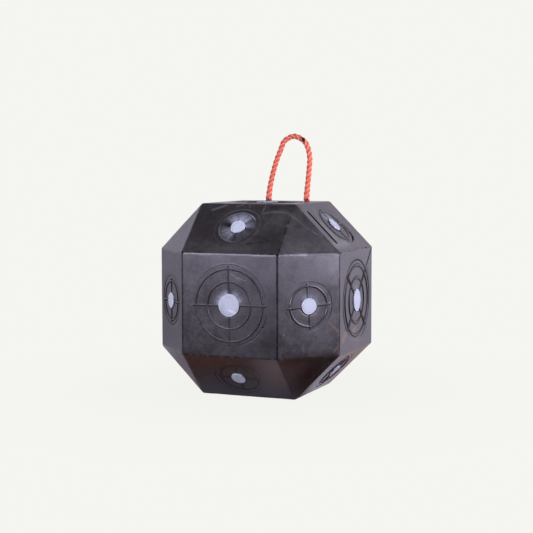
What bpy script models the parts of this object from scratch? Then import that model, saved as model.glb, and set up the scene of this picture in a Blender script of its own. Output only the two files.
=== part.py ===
# Cube archery target: a foam cube with its edges and corners cut away, so that
# six square faces, twelve narrower edge faces and eight blank corners show.
# Eighteen faces carry a raised aiming mark round a white bullseye, and a rope
# loop comes out of the top face for carrying.
#
# Metres, +Z up. The origin is the middle of the base, on the crests of the ribs
# that the block stands on. -Y is the front and +Z carries the rope.

import math

import bmesh
import bpy
from mathutils import Matrix, Vector

# The block
FACE_TO_FACE = 0.380
FACE_SIDE = 0.1974
SKIN_WALL = 0.012
EDGE_ROUND = 0.0025
EDGE_STEPS = 2
FIT_GAP = 0.0003
SHARP_DEGREES = 32

# The raised ribs of the aiming marks
RIB_HEIGHT = 0.0020
RIB_BASE_WIDTH = 0.0038
RIB_CREST_WIDTH = 0.0014
RIB_ROOT = 0.0015

# The aiming mark of a square face
LARGE_BULL_DIAMETER = 0.0444
LARGE_INNER_RING_DIAMETER = 0.0892
LARGE_OUTER_RING_DIAMETER = 0.1386
LARGE_CROSS_LENGTH = 0.1526
LARGE_RING_STEPS = 40

# The aiming mark of an edge face
SMALL_BULL_DIAMETER = 0.0304
SMALL_RING_DIAMETER = 0.0768
SMALL_CROSS_LENGTH = 0.0868
SMALL_RING_STEPS = 28

# The white bullseyes
BULL_RIM_CHAMFER = 0.0004
BULL_STEPS = 24

# The carrying rope
ROPE_DIAMETER = 0.0095
FOOT_SPACING = 0.0844
FOOT_OFFSET = 0.0086
FOOT_INSET = 0.0087
LOOP_HEIGHT = 0.1335
ROPE_STAND = 0.0060
ROPE_DEPTH = 0.060
KNOT_DIAMETER = 0.028
KNOT_GROOVE = 0.0017
KNOT_WRAPS = 4
KNOT_CLEARANCE = 0.0010
ROPE_TAIL = 0.014
ROPE_FACETS = 3
BALL_STEPS = (8, 35, 62)

# The dab of foam that has crept up the front of each rope foot
LIP_WIDTH = 0.0064
LIP_HEIGHT = 0.0045
LIP_TURNS = {"left": -130, "right": -90}
LIP_SLOPES = (-80, -50, -20, 10, 40, 65, 84)
LIP_SIDES = 12
HOLE_SIDES = 20

# The loop seen from the front, as shares of the foot spacing and of the loop
# height above the pivot: up the left leg, over the top and down the right leg.
LOOP_ROUTE = (
    (0.000, 0.000),
    (0.062, 0.250),
    (0.189, 0.560),
    (0.312, 0.768),
    (0.423, 0.926),
    (0.670, 1.000),
    (0.905, 0.932),
    (1.020, 0.824),
    (1.080, 0.630),
    (1.058, 0.406),
    (1.017, 0.130),
    (1.000, 0.000),
)

# The section of one wrap of a knot: heights as shares of the rope's thickness,
# and whether the point is on the crown or down in the groove.
WRAP_SECTION = ((0.38, False), (0.14, True), (-0.14, True), (-0.38, False))

# Each face with an aiming mark: the way it looks, how many degrees its mark is
# turned by, and how far the mark sits across and up from the face's middle,
# because each round mould insert was set by hand.
TARGET_FACES = {
    "front": ((0, -1, 0), 1.0, (0, 0)),
    "back": ((0, 1, 0), 2.0, (0, 0)),
    "left": ((-1, 0, 0), 44.5, (0, -0.0006)),
    "right": ((1, 0, 0), 45.5, (0.0003, -0.0011)),
    "top": ((0, 0, 1), 0.0, (0, 0)),
    "bottom": ((0, 0, -1), -1.0, (0, 0)),
    "front_left": ((-1, -1, 0), 0.0, (0, 0)),
    "front_right": ((1, -1, 0), 4.5, (0, 0)),
    "back_left": ((-1, 1, 0), -3.0, (0, 0)),
    "back_right": ((1, 1, 0), 2.0, (0, 0)),
    "top_front": ((0, -1, 1), 0.0, (-0.0028, 0.0026)),
    "top_back": ((0, 1, 1), -2.0, (0, 0)),
    "top_left": ((-1, 0, 1), 1.5, (0, 0)),
    "top_right": ((1, 0, 1), 3.0, (0.0030, 0.0022)),
    "bottom_front": ((0, -1, -1), -2.0, (-0.0011, -0.0022)),
    "bottom_back": ((0, 1, -1), 3.0, (0, 0)),
    "bottom_left": ((-1, 0, -1), -4.0, (0, 0)),
    "bottom_right": ((1, 0, -1), 0.0, (0, 0)),
}

HALF = FACE_TO_FACE / 2
HALF_SIDE = FACE_SIDE / 2
ROPE_RADIUS = ROPE_DIAMETER / 2
CENTRE = Vector((0, 0, HALF + RIB_HEIGHT))
TOP_FACE_Z = CENTRE.z + HALF
FOOT_Y = HALF_SIDE - FOOT_INSET
FOOT_X = {
    "left": FOOT_OFFSET - FOOT_SPACING / 2,
    "right": FOOT_OFFSET + FOOT_SPACING / 2,
}
PIVOT_Z = TOP_FACE_Z + ROPE_STAND + FIT_GAP + ROPE_RADIUS

COLOURS = {
    "black_foam": ((0.090, 0.083, 0.098, 1), 0.55),
    "core_foam": ((0.420, 0.230, 0.110, 1), 0.90),
    "white_coat": ((0.590, 0.590, 0.760, 1), 0.60),
    "orange_rope": ((0.740, 0.120, 0.075, 1), 0.50),
}


def material(name):
    """Return the finish of this name, made once."""
    found = bpy.data.materials.get(name)
    if found:
        return found
    colour, roughness = COLOURS[name]
    made = bpy.data.materials.new(name)
    made.use_nodes = True
    shader = made.node_tree.nodes["Principled BSDF"]
    shader.inputs["Base Color"].default_value = colour
    shader.inputs["Roughness"].default_value = roughness
    shader.inputs["Metallic"].default_value = 0
    made.diffuse_color = colour
    return made


def add_object(name, mesh, finish=None):
    """Put a mesh or curve in the scene under this name."""
    made = bpy.data.objects.new(name, mesh)
    bpy.context.collection.objects.link(made)
    if finish:
        mesh.materials.append(material(finish))
    return made


def add_mesh(name, shape, finish=None):
    """Turn a bmesh into a named object that shades smooth between its sharp edges."""
    mesh = bpy.data.meshes.new(name)
    shape.to_mesh(mesh)
    shape.free()
    mesh.shade_smooth()
    mesh.set_sharp_from_angle(angle=math.radians(SHARP_DEGREES))
    return add_object(name, mesh, finish)


def make_cutter(shape_object):
    """Mark an object as a tool that shapes others and isn't a piece itself."""
    shape_object.hide_render = True
    shape_object.display_type = "WIRE"
    return shape_object


def add_boolean(target, tool, operation):
    """Add an exact Boolean of this kind to the target."""
    modifier = target.modifiers.new(tool.name, "BOOLEAN")
    modifier.operation = operation
    modifier.object = tool
    modifier.solver = "EXACT"
    return modifier


def cut_cube(inset):
    """Return the block's outline, drawn in by the inset on its square and edge faces.

    The corners are every order and sign of (half side, half side, half width).
    """
    half = HALF - inset
    half_side = HALF_SIDE - (math.sqrt(2) - 1) * inset
    shape = bmesh.new()
    for axis in range(3):
        for signs in range(8):
            corner = [half_side] * 3
            corner[axis] = half
            for place in range(3):
                if signs >> place & 1:
                    corner[place] = -corner[place]
            shape.verts.new(CENTRE + Vector(corner))
    bmesh.ops.convex_hull(shape, input=shape.verts)
    bmesh.ops.recalc_face_normals(shape, faces=shape.faces)
    bmesh.ops.dissolve_limit(
        shape, angle_limit=math.radians(1), verts=shape.verts, edges=shape.edges
    )
    return shape


def face_frame(direction):
    """Return the matrix that carries a drawing on XY to the face that looks this way."""
    normal = Vector(direction).normalized()
    upright = Vector((0, 0, 1)) if direction[0] or direction[1] else Vector((0, 1, 0))
    across = upright.cross(normal).normalized()
    up = normal.cross(across)
    is_square = sum(abs(part) for part in direction) == 1
    distance = HALF if is_square else (HALF + HALF_SIDE) / math.sqrt(2)
    turn = Matrix((across, up, normal)).transposed().to_4x4()
    return Matrix.Translation(CENTRE + normal * distance) @ turn


def mark_frame(name):
    """Return the matrix of one face's mark, moved and turned on its face."""
    direction, turned, (across, up) = TARGET_FACES[name]
    place = Matrix.Translation((across, up, 0))
    return face_frame(direction) @ place @ Matrix.Rotation(math.radians(turned), 4, "Z")


def add_lathe(shape, place, profile, steps):
    """Turn a section, given as (radius, height) points from the bottom up, into a round body."""
    rings = []
    for radius, height in profile:
        angles = [2 * math.pi * step / steps for step in range(steps)]
        rings.append([
            shape.verts.new(
                place @ Vector((radius * math.cos(angle), radius * math.sin(angle), height))
            )
            for angle in angles
        ])
    shape.faces.new(reversed(rings[0]))
    shape.faces.new(rings[-1])
    for low, high in zip(rings, rings[1:]):
        for step in range(steps):
            after = (step + 1) % steps
            shape.faces.new((low[step], low[after], high[after], high[step]))


def rib_profile(centre):
    """Return the rib's section as (radius, height) points, from its foot inside the skin."""
    base = RIB_BASE_WIDTH / 2
    crest = RIB_CREST_WIDTH / 2
    return (
        (centre - base, -RIB_ROOT),
        (centre - base, 0),
        (centre - crest, RIB_HEIGHT),
        (centre + crest, RIB_HEIGHT),
        (centre + base, 0),
        (centre + base, -RIB_ROOT),
    )


def add_ring(shape, place, diameter, steps):
    """Sweep the rib's section round a circle."""
    profile = rib_profile(diameter / 2)
    rings = []
    for step in range(steps):
        angle = 2 * math.pi * step / steps
        rings.append([
            shape.verts.new(
                place @ Vector((radius * math.cos(angle), radius * math.sin(angle), height))
            )
            for radius, height in profile
        ])
    for step, ring in enumerate(rings):
        following = rings[(step + 1) % steps]
        for corner in range(len(profile)):
            after = (corner + 1) % len(profile)
            shape.faces.new((ring[after], following[after], following[corner], ring[corner]))


def add_arm(shape, place, start, end):
    """Run the rib's section straight out from start to end."""
    ends = [
        [shape.verts.new(place @ Vector((reach, aside, height))) for aside, height in rib_profile(0)]
        for reach in (start, end)
    ]
    shape.faces.new(ends[0])
    shape.faces.new(reversed(ends[1]))
    for corner in range(len(ends[0])):
        after = (corner + 1) % len(ends[0])
        shape.faces.new((ends[0][after], ends[0][corner], ends[1][corner], ends[1][after]))


def mark_sizes(name):
    """Return the bullseye's size, the rings, the cross and the ring steps of a face."""
    direction = TARGET_FACES[name][0]
    if sum(abs(part) for part in direction) == 1:
        rings = (LARGE_INNER_RING_DIAMETER, LARGE_OUTER_RING_DIAMETER)
        return LARGE_BULL_DIAMETER, rings, LARGE_CROSS_LENGTH, LARGE_RING_STEPS
    return SMALL_BULL_DIAMETER, (SMALL_RING_DIAMETER,), SMALL_CROSS_LENGTH, SMALL_RING_STEPS


def build_ribs():
    """Make the ribs of every aiming mark: its rings, and the cross that runs past them."""
    shape = bmesh.new()
    for name in TARGET_FACES:
        bull, rings, cross, steps = mark_sizes(name)
        place = mark_frame(name)
        for diameter in rings:
            add_ring(shape, place, diameter, steps)
        for quarter in range(4):
            turn = Matrix.Rotation(math.pi / 2 * quarter, 4, "Z")
            add_arm(shape, place @ turn, bull / 2 + FIT_GAP, cross / 2)
    return make_cutter(add_mesh("ribs", shape))


def build_bullseye(name):
    """Make the white disc of one face, with a chamfered rim, level with the ribs."""
    radius = mark_sizes(name)[0] / 2
    profile = (
        (radius, FIT_GAP),
        (radius, RIB_HEIGHT - BULL_RIM_CHAMFER),
        (radius - BULL_RIM_CHAMFER, RIB_HEIGHT),
    )
    shape = bmesh.new()
    add_lathe(shape, mark_frame(name), profile, BULL_STEPS)
    return add_mesh("bullseye_" + name, shape, "white_coat")


def round_bar(name, centre, radius, low, high):
    """Make an upright round cutter between two heights."""
    shape = bmesh.new()
    place = Matrix.Translation((*centre, 0))
    add_lathe(shape, place, ((radius, low), (radius, high)), HOLE_SIDES)
    return make_cutter(add_mesh(name, shape))


def build_lip(side):
    """Make the dab of foam at one rope foot, as a blob centred on the rope's surface."""
    turn = math.radians(LIP_TURNS[side])
    reach = ROPE_RADIUS + FIT_GAP
    spot = Vector((
        FOOT_X[side] + reach * math.cos(turn), FOOT_Y + reach * math.sin(turn), TOP_FACE_Z
    ))
    slopes = [math.radians(degrees) for degrees in LIP_SLOPES]
    profile = [
        (LIP_WIDTH / 2 * math.cos(slope), LIP_HEIGHT * math.sin(slope)) for slope in slopes
    ]
    shape = bmesh.new()
    add_lathe(shape, Matrix.Translation(spot), profile, LIP_SIDES)
    return make_cutter(add_mesh("lip_" + side, shape))


def rope_hole(name, side, low):
    """Make the cutter of the hole that one rope leg runs down."""
    high = TOP_FACE_Z + 2 * LIP_HEIGHT
    return round_bar(name, (FOOT_X[side], FOOT_Y), ROPE_RADIUS + FIT_GAP, low, high)


def build_skin():
    """Make the black moulded skin: a thick shell with the ribs standing on its faces."""
    outline = cut_cube(0)
    bmesh.ops.bevel(
        outline, geom=outline.edges, offset=EDGE_ROUND, segments=EDGE_STEPS, profile=0.5,
        affect="EDGES", clamp_overlap=True,
    )
    skin = add_mesh("outer_skin", outline, "black_foam")
    hollow = make_cutter(add_mesh("hollow", cut_cube(SKIN_WALL)))
    add_boolean(skin, hollow, "DIFFERENCE")
    for side in FOOT_X:
        add_boolean(skin, build_lip(side), "UNION")
        hole = rope_hole("skin_hole_" + side, side, TOP_FACE_Z - 2 * SKIN_WALL)
        add_boolean(skin, hole, "DIFFERENCE")
    ribs = add_boolean(skin, build_ribs(), "UNION")
    ribs.use_self = True
    return skin


def knot_height():
    """Return the length of rope that the stopper knot takes up."""
    return KNOT_WRAPS * ROPE_DIAMETER


def build_core():
    """Make the softer foam that fills the skin, with a bore and a knot pocket for each leg."""
    core = add_mesh("foam_core", cut_cube(SKIN_WALL + FIT_GAP), "core_foam")
    knot_top = TOP_FACE_Z - ROPE_DEPTH
    for side in FOOT_X:
        centre = (FOOT_X[side], FOOT_Y)
        low = knot_top - knot_height() - ROPE_TAIL - KNOT_CLEARANCE
        add_boolean(core, rope_hole("core_bore_" + side, side, low), "DIFFERENCE")
        pocket = round_bar(
            "knot_pocket_" + side, centre, KNOT_DIAMETER / 2 + KNOT_CLEARANCE,
            knot_top - knot_height() - KNOT_CLEARANCE, knot_top + KNOT_CLEARANCE,
        )
        add_boolean(core, pocket, "DIFFERENCE")
    return core


def smooth_route(points, steps):
    """Return a smooth curve through the points (Catmull-Rom), with even steps between them."""
    padded = [points[0] * 2 - points[1]] + points + [points[-1] * 2 - points[-2]]
    curve = []
    for before, start, end, after in zip(padded, padded[1:], padded[2:], padded[3:]):
        for step in range(steps):
            share = step / steps
            curve.append(0.5 * (
                2 * start
                + (end - before) * share
                + (2 * before - 5 * start + 4 * end - after) * share ** 2
                + (3 * start - before - 3 * end + after) * share ** 3
            ))
    curve.append(points[-1])
    return curve


def rope_tube(name, points, girths):
    """Make a length of rope as a round tube, with the tube's girth given at each point."""
    curve = bpy.data.curves.new(name, "CURVE")
    curve.dimensions = "3D"
    curve.bevel_depth = ROPE_RADIUS
    curve.bevel_resolution = ROPE_FACETS
    curve.use_fill_caps = True
    spline = curve.splines.new("POLY")
    spline.points.add(len(points) - 1)
    for place, point in enumerate(points):
        spline.points[place].co = (*point, 1)
        spline.points[place].radius = girths[place]
    spline.use_smooth = True
    return add_object(name, curve, "orange_rope")


def rounded_end(point, direction):
    """Return the points and girths of a ball end centred on the point, tip first."""
    points = []
    girths = []
    for degrees in BALL_STEPS:
        angle = math.radians(degrees)
        points.append(point - direction * ROPE_RADIUS * math.cos(angle))
        girths.append(math.sin(angle))
    return points, girths


def build_loop():
    """Make the free loop of rope, which folds about the line through its two ball ends."""
    rise = TOP_FACE_Z + LOOP_HEIGHT - PIVOT_Z
    route = [
        Vector((FOOT_X["left"] + across * FOOT_SPACING, FOOT_Y, PIVOT_Z + up * rise))
        for across, up in LOOP_ROUTE
    ]
    curve = smooth_route(route, 2)
    first, first_girths = rounded_end(curve[0], (curve[1] - curve[0]).normalized())
    last, last_girths = rounded_end(curve[-1], (curve[-2] - curve[-1]).normalized())
    points = first + curve + last[::-1]
    girths = first_girths + [1] * len(curve) + last_girths[::-1]
    pivot = bpy.data.objects.new("handle_pivot", None)
    pivot.location = (FOOT_OFFSET, FOOT_Y, PIVOT_Z)
    bpy.context.collection.objects.link(pivot)
    loop = rope_tube("rope_loop", [point - pivot.location for point in points], girths)
    loop.parent = pivot
    return loop


def build_leg(side):
    """Make one buried rope leg: straight down, swelling into its stopper knot, then the tail."""
    knot_top = TOP_FACE_Z - ROPE_DEPTH
    knot_bottom = knot_top - knot_height()
    crown = KNOT_DIAMETER / 2 / ROPE_RADIUS
    groove = (KNOT_DIAMETER / 2 - KNOT_GROOVE) / ROPE_RADIUS
    heights = [TOP_FACE_Z + ROPE_STAND, TOP_FACE_Z, knot_top]
    girths = [1, 1, 1]
    for wrap in range(KNOT_WRAPS):
        middle = knot_top - (wrap + 0.5) * ROPE_DIAMETER
        for offset, is_crown in WRAP_SECTION:
            heights.append(middle + offset * ROPE_DIAMETER)
            girths.append(crown if is_crown else groove)
    heights += [knot_bottom, knot_bottom - ROPE_TAIL]
    girths += [1, 1]
    points = [Vector((FOOT_X[side], FOOT_Y, height)) for height in heights]
    return rope_tube("rope_leg_" + side, points, girths)


def main():
    """Clear the scene and build every piece of the target."""
    for old in list(bpy.data.objects):
        bpy.data.objects.remove(old, do_unlink=True)
    build_skin()
    build_core()
    for name in TARGET_FACES:
        build_bullseye(name)
    build_loop()
    for side in FOOT_X:
        build_leg(side)


main()
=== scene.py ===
# Looks for the foam cube target: the moulded skin with its raised marks, the coated
# bullseyes, the twisted rope and the studio round them. Metres, +Z up, front to -Y.
import math

import bmesh
import bpy
import numpy as np
from mathutils import Matrix, Vector


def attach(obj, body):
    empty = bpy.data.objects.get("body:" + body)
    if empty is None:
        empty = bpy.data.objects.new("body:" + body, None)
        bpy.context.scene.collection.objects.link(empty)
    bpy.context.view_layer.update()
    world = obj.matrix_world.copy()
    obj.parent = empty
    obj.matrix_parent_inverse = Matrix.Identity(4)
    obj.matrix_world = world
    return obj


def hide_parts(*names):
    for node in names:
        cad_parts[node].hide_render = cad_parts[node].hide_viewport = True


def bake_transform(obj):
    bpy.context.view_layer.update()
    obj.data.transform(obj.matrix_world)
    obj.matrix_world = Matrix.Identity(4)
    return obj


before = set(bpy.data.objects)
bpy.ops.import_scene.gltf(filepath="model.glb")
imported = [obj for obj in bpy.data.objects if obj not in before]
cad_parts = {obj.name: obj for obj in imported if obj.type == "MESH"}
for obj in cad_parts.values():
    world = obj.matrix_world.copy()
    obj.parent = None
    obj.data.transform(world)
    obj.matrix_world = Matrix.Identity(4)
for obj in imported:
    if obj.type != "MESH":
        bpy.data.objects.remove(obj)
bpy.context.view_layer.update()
print("frame loaded")


# Shared help

tiny = 1e-9
milli = 0.001


def shareOf(value, low, high):
    # smooth step: 0 below low, 1 above high, 3t^2 - 2t^3 between
    t = np.clip((value - low) / (high - low), 0, 1)
    return t * t * (3 - 2 * t)


def shareFrom(value, base, ends):
    # the same step between two ends that are counted from a base
    return shareOf(value, base + ends[0], base + ends[1])


def fullTurn(columns):
    # equal angles all round
    return np.linspace(0, 2 * np.pi, columns, endpoint=False)


def onCircle(angles):
    # points of the unit circle: cosine, sine and 0
    return np.stack([np.cos(angles), np.sin(angles), 0 * angles], -1)


def ripple(points, seed, wave, waves=14, spread=(0.7, 1.5)):
    # smooth noise, mostly within -1 to 1: sines along seeded random directions, of lengths
    # spread about the wave, summed and divided by twice the root of half their number
    rng = np.random.default_rng(seed)
    ways = rng.normal(size=(waves, 3))
    ways /= np.linalg.norm(ways, axis=1)[:, None]
    turns = rng.uniform(0, 2 * np.pi, waves)
    lengths = wave * rng.uniform(*spread, waves)
    phase = points @ (ways / lengths[:, None]).T * 2 * np.pi + turns
    return np.sin(phase).sum(-1) / math.sqrt(waves / 2) / 2


def gridFaces(rows, columns):
    # quads of a grid closed round its columns; corners are numbered row by row
    row = np.arange(rows - 1)[:, None]
    column = np.arange(columns)[None, :]
    after = (column + 1) % columns
    quads = (row * columns + column, (row + 1) * columns + column,
             (row + 1) * columns + after, row * columns + after)
    return np.stack(np.broadcast_arrays(*quads), -1).reshape(-1, 4)


def tubeCaps(rows, columns):
    # the first row, turned round, and the last row
    return range(columns - 1, -1, -1), range((rows - 1) * columns, rows * columns)


def makePiece(name, points, quads, caps=(), smooth=True):
    # mesh object from arrays of corners and quads, and from many-sided caps
    mesh = bpy.data.meshes.new(name)
    mesh.from_pydata(points.tolist(), [], quads.tolist() + [list(cap) for cap in caps])
    mesh.polygons.foreach_set("use_smooth", [smooth] * len(mesh.polygons))
    mesh.update()
    piece = bpy.data.objects.new(name, mesh)
    bpy.context.scene.collection.objects.link(piece)
    return piece


def paint(piece, name, values):
    # one colour value per corner point, read by the piece's material
    layer = piece.data.attributes.new(name, "FLOAT_COLOR", "POINT")
    colours = np.ones((len(values), 4), np.float32)
    colours[:, :values.shape[1]] = values
    layer.data.foreach_set("color", colours.ravel())


# Camera

camera = {"place": (0.9826, -2.3570, 0.4645), "forward": (-0.38414, 0.91953, -0.08312),
          "rollDegrees": -0.13, "lens": 85.39, "sensor": 36}


def makeCamera():
    # turned so that -Z looks forward and Y is up, then rolled about its own view
    data = bpy.data.cameras.new("photoCamera")
    data.lens = camera["lens"]
    data.sensor_width = camera["sensor"]
    data.sensor_fit = "HORIZONTAL"
    view = bpy.data.objects.new("photoCamera", data)
    turn = Vector(camera["forward"]).to_track_quat("-Z", "Y").to_matrix().to_4x4()
    roll = Matrix.Rotation(math.radians(camera["rollDegrees"]), 4, "Z")
    view.matrix_world = Matrix.Translation(camera["place"]) @ turn @ roll
    bpy.context.scene.collection.objects.link(view)
    bpy.context.scene.camera = view


makeCamera()


# The block's faces

block = {
    "half": 0.190, "halfSide": 0.0987, "middle": (0.0, 0.0, 0.192), "edgeRound": 0.0019,
    # unevenness of the edge radius: seed, wave length, share
    "edgeWaves": ((11, 0.050, 0.25), (12, 0.016, 0.18), (13, 0.0065, 0.15)),
    # corners worn rounder: place, reach, extra radius
    "worn": (((-0.0987, -0.1899, 0.0968), 0.010, 0.0022),
             ((0.1842, -0.1045, 0.2889), 0.010, 0.0005),
             ((0.1900, -0.0987, 0.2907), 0.010, 0.0004)),
    "settleSteps": 6, "leastSteep": 0.2, "weldGap": 2e-5,
    "insets": (0.0, 0.0005, 0.0011, 0.0018, 0.0028, 0.0042, 0.0075), "edgeFade": 0.0016,
    "cornerSteps": (0.0, 0.0006, 0.0014, 0.0024, 0.0040), "sideColumns": 26,
    "clusterWide": (-0.0026, -0.0020, -0.0015, -0.0010, -0.0005, 0.0,
                    0.0005, 0.0010, 0.0015, 0.0020, 0.0026),
    # a blank corner's inner rings: the smallest's share of its inradius, the largest's inset
    "cornerRings": 7, "cornerSmallest": 0.93, "cornerLargest": 0.012,
}

bullseye = {
    "edge": 0.0006, "foot": -0.0010, "lipDegrees": (0, 25, 50, 75, 90), "columns": 96,
    # the faint inner line: distance from the rim and share of its depth
    "line": ((0.0015, 0), (0.0020, 1), (0.0025, 1), (0.0030, 0)), "lineDeep": 0.00030,
    "flat": (0.7, 0.4, 0.12),
    # the rim's unevenness: height, wave lengths, seeds, share of the radius where it starts
    "wobble": 0.00022, "wobbleWave": 0.9, "chipWave": 0.55, "seed": 40, "chipSeed": 50,
    "wobbleFrom": 0.6,
}
rib = {
    "height": 0.0020, "base": 0.0038, "crest": 0.0011, "crestNarrow": 1.6,
    # where an arm comes out of the bullseye and where it ends
    "armStart": (-0.004, -0.001), "armEnd": (-0.0006, 0.0005),
    # wear (mean, swing, seed, wave length), and the step from upper to lower sides
    "wear": (0.93, 0.07, 5, 0.045), "under": (-0.35, 0.5),
}
# the groove round the bullseye; its darkness, strongest below the bullseye, is painted shade
moat = {"out": 0.0010, "wide": 0.0009, "deep": 0.0005, "above": 0.25, "under": (-0.2, 0.5)}
# the witness line's groove; its darkness, least all round and most in the dark arcs, is painted shade
slit = {"least": 0.06, "most": 0.94, "step": 0.0004, "rimDeep": 0.0003, "ends": (0.6, 1.15)}
haze = {"streak": 7.0, "mean": 0.76, "swing": 0.46, "power": 1.5, "stop": (-0.003, 0.001),
        "seeds": 97, "seed": 3}
arcEnds = (0.6, 1.2)

largeMark = {
    "bull": 0.0222, "rings": (0.0446, 0.0693), "arm": 0.0763, "witness": 0.0795,
    "fill": (0.008, 0.016, 0.0205, 0.0222, 0.0232, 0.0246, 0.0275, 0.032, 0.0365, 0.0405,
             0.0487, 0.053, 0.0575, 0.062, 0.0655, 0.0730, 0.0752, 0.0760, 0.0767, 0.0776),
    "joinSteps": 3,
}
smallMark = {
    "bull": 0.0154, "rings": (0.0384,), "arm": 0.0434, "witness": 0.0480,
    "fill": (0.006, 0.011, 0.0140, 0.0154, 0.0163, 0.0178, 0.0205, 0.0245, 0.0290, 0.0335,
             0.0420, 0.0429, 0.0434, 0.0440, 0.0452),
    "joinSteps": 5,
}
witnessRows = (-0.0014, -0.0008, -0.0004, 0.0, 0.0004, 0.0008, 0.0014)

# What a face has unless its own entry says otherwise. Shift, disc and depth are in
# millimetres, angles in degrees round the mark from its right, and each arc is its middle,
# half width and strength.
plainFace = {
    # the mark: turn, shift across and up, size, depth (mean, swing, deepest side)
    "turn": 0.0, "shift": (0, 0), "size": 1.0, "depth": (0.2, 0.1, 0),
    # its ribs: share of their width and height, share of their height that is left
    "slim": 1.0, "worn": 1.0,
    # their painted shade: strength and width at the feet, share of it on upper sides, then the
    # painted shade on upright ribs and its share on level ones
    "grime": 0.6, "grimeWide": 0.0007, "shadeAbove": 0.35, "ribShade": (0.0, 0.0),
    # the bullseye: brightness, which is painted light and shade, height, unevenness, shift on the mark,
    # width and height
    "coat": 1.0, "lift": 0.0020, "chip": 0.00012, "disc": (0, 0), "narrow": (0.955, 0.985),
    # the line round the mark: half width, depth, its arcs of painted shade and its arcs of painted
    # highlight
    "line": 0.00055, "slitDeep": 0.0006, "arcs": (), "rim": (),
    # overspray: round the bullseye and how far it reaches; then a painted highlight along the inner
    # ring's crest
    "haze": (), "fade": 0.0055, "crest": (),
}


markedFaces = {
    "front": dict(coat=0.96, turn=1.0, depth=(0.1, 0.08, 80), slim=0.72, disc=(0, 0.8), grime=0.65,
        arcs=((-38, 30, 0.45),), rim=((75, 85, 0.58),), haze=((136, 46, 0.85), (42, 34, 0.75)),
        crest=((232, 44, 0.34),)),
    "back": dict(turn=2.0, depth=(0.25, 0.15, 200), arcs=((200, 60, 0.7), (60, 30, 0.4)),
        haze=((20, 40, 0.25),)),
    "left": dict(turn=44.5, shift=(0, -0.6), depth=(0.25, 0.2, 10), arcs=((10, 70, 0.8),),
        haze=((250, 45, 0.3),)),
    "right": dict(coat=0.8, turn=45.5, shift=(0.3, -1.1), depth=(0.25, 0.25, 30), slim=1.3,
        worn=0.55, narrow=(0.89, 0.985), grime=1.0, grimeWide=0.0012, shadeAbove=0.75,
        ribShade=(1.0, 0.2), line=0.0014, arcs=((60, 90, 1.0), (180, 60, 0.9), (-50, 30, 0.6)),
        rim=((-95, 30, 0.45),), haze=((80, 40, 0.22),)),
    "top": dict(depth=(0.25, 0.15, 120), worn=0.5, lift=0.0012, grime=0.05, arcs=((120, 60, 0.2),),
        haze=((10, 40, 0.2),)),
    "bottom": dict(turn=-1.0, depth=(0.2, 0.1, 300), arcs=((300, 70, 0.6),), haze=((90, 40, 0.2),)),
    "front_left": dict(coat=1.1, worn=0.55, grime=1.0, grimeWide=0.0012, shadeAbove=0.8,
        ribShade=(0.85, 0.0), line=0.0013,
        arcs=((180, 60, 1.0), (-75, 60, 0.9), (15, 60, 0.8), (95, 40, 0.5)), haze=((90, 50, 0.2),)),
    "front_right": dict(coat=0.82, turn=4.5, depth=(0.12, 0.08, 20), narrow=(0.995, 1.0),
        slitDeep=0.0002, arcs=((10, 50, 1.0), (190, 30, 0.25)), rim=((110, 60, 0.35),),
        haze=((70, 70, 0.42), (-40, 40, 0.3))),
    "back_left": dict(turn=-3.0, depth=(0.2, 0.15, 140), arcs=((140, 50, 0.7),),
        haze=((30, 40, 0.25),)),
    "back_right": dict(turn=2.0, depth=(0.2, 0.15, 260), arcs=((260, 50, 0.7),),
        haze=((150, 40, 0.25),)),
    "top_front": dict(coat=1.1, shift=(-2.8, 2.6), size=0.96, depth=(0.2, 0.1, 90), worn=0.3,
        chip=0.0008, disc=(1.2, 0.1), narrow=(0.96, 0.95), grime=0.25,
        rim=((0, 400, 0.5), (80, 72, 1.0)),
        haze=((90, 58, 1.0), (222, 42, 0.5), (300, 45, 0.12), (14, 18, 0.42)), fade=0.0175,
        crest=((90, 62, 0.45), (45, 16, 0.8), (225, 50, 0.42))),
    "top_back": dict(turn=-2.0, depth=(0.2, 0.15, 60), arcs=((60, 50, 0.6),),
        haze=((240, 40, 0.3),)),
    "top_left": dict(turn=1.5, depth=(0.2, 0.15, 10), arcs=((10, 50, 0.6),),
        haze=((100, 40, 0.3),)),
    # top_right: its haze arc, in the overspray colour, is a painted highlight above the bullseye
    "top_right": dict(coat=0.86, turn=3.0, shift=(3.0, 2.2), depth=(0.25, 0.2, 200), worn=0.5,
        disc=(-1.3, 0.8), grime=0.75, grimeWide=0.0012, shadeAbove=0.5, ribShade=(0.3, 0.3),
        line=0.001, arcs=((-35, 40, 1.0), (235, 50, 0.45), (150, 60, 0.3)), haze=((85, 45, 0.6),),
        fade=0.018),
    "bottom_front": dict(coat=1.07, turn=-2.0, shift=(-1.1, -2.2), depth=(0.2, 0.1, 270), worn=0.6,
        narrow=(0.9, 0.93), grime=0.8, ribShade=(0.3, 0.9),
        arcs=((40, 40, 0.9), (180, 30, 0.8), (270, 60, 0.4)), haze=((90, 50, 0.1),)),
    "bottom_back": dict(turn=3.0, depth=(0.2, 0.1, 30), arcs=((30, 50, 0.6),),
        haze=((180, 40, 0.2),)),
    "bottom_left": dict(turn=-4.0, depth=(0.2, 0.1, 130), arcs=((130, 50, 0.6),),
        haze=((0, 40, 0.2),)),
    "bottom_right": dict(coat=0.8, depth=(0.2, 0.15, 240), grime=1.0, grimeWide=0.0012,
        shadeAbove=0.75, ribShade=(0.8, 0.2), line=0.0012, arcs=((60, 80, 0.9), (240, 80, 0.9)),
        haze=((60, 40, 0.2),)),
}

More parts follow.
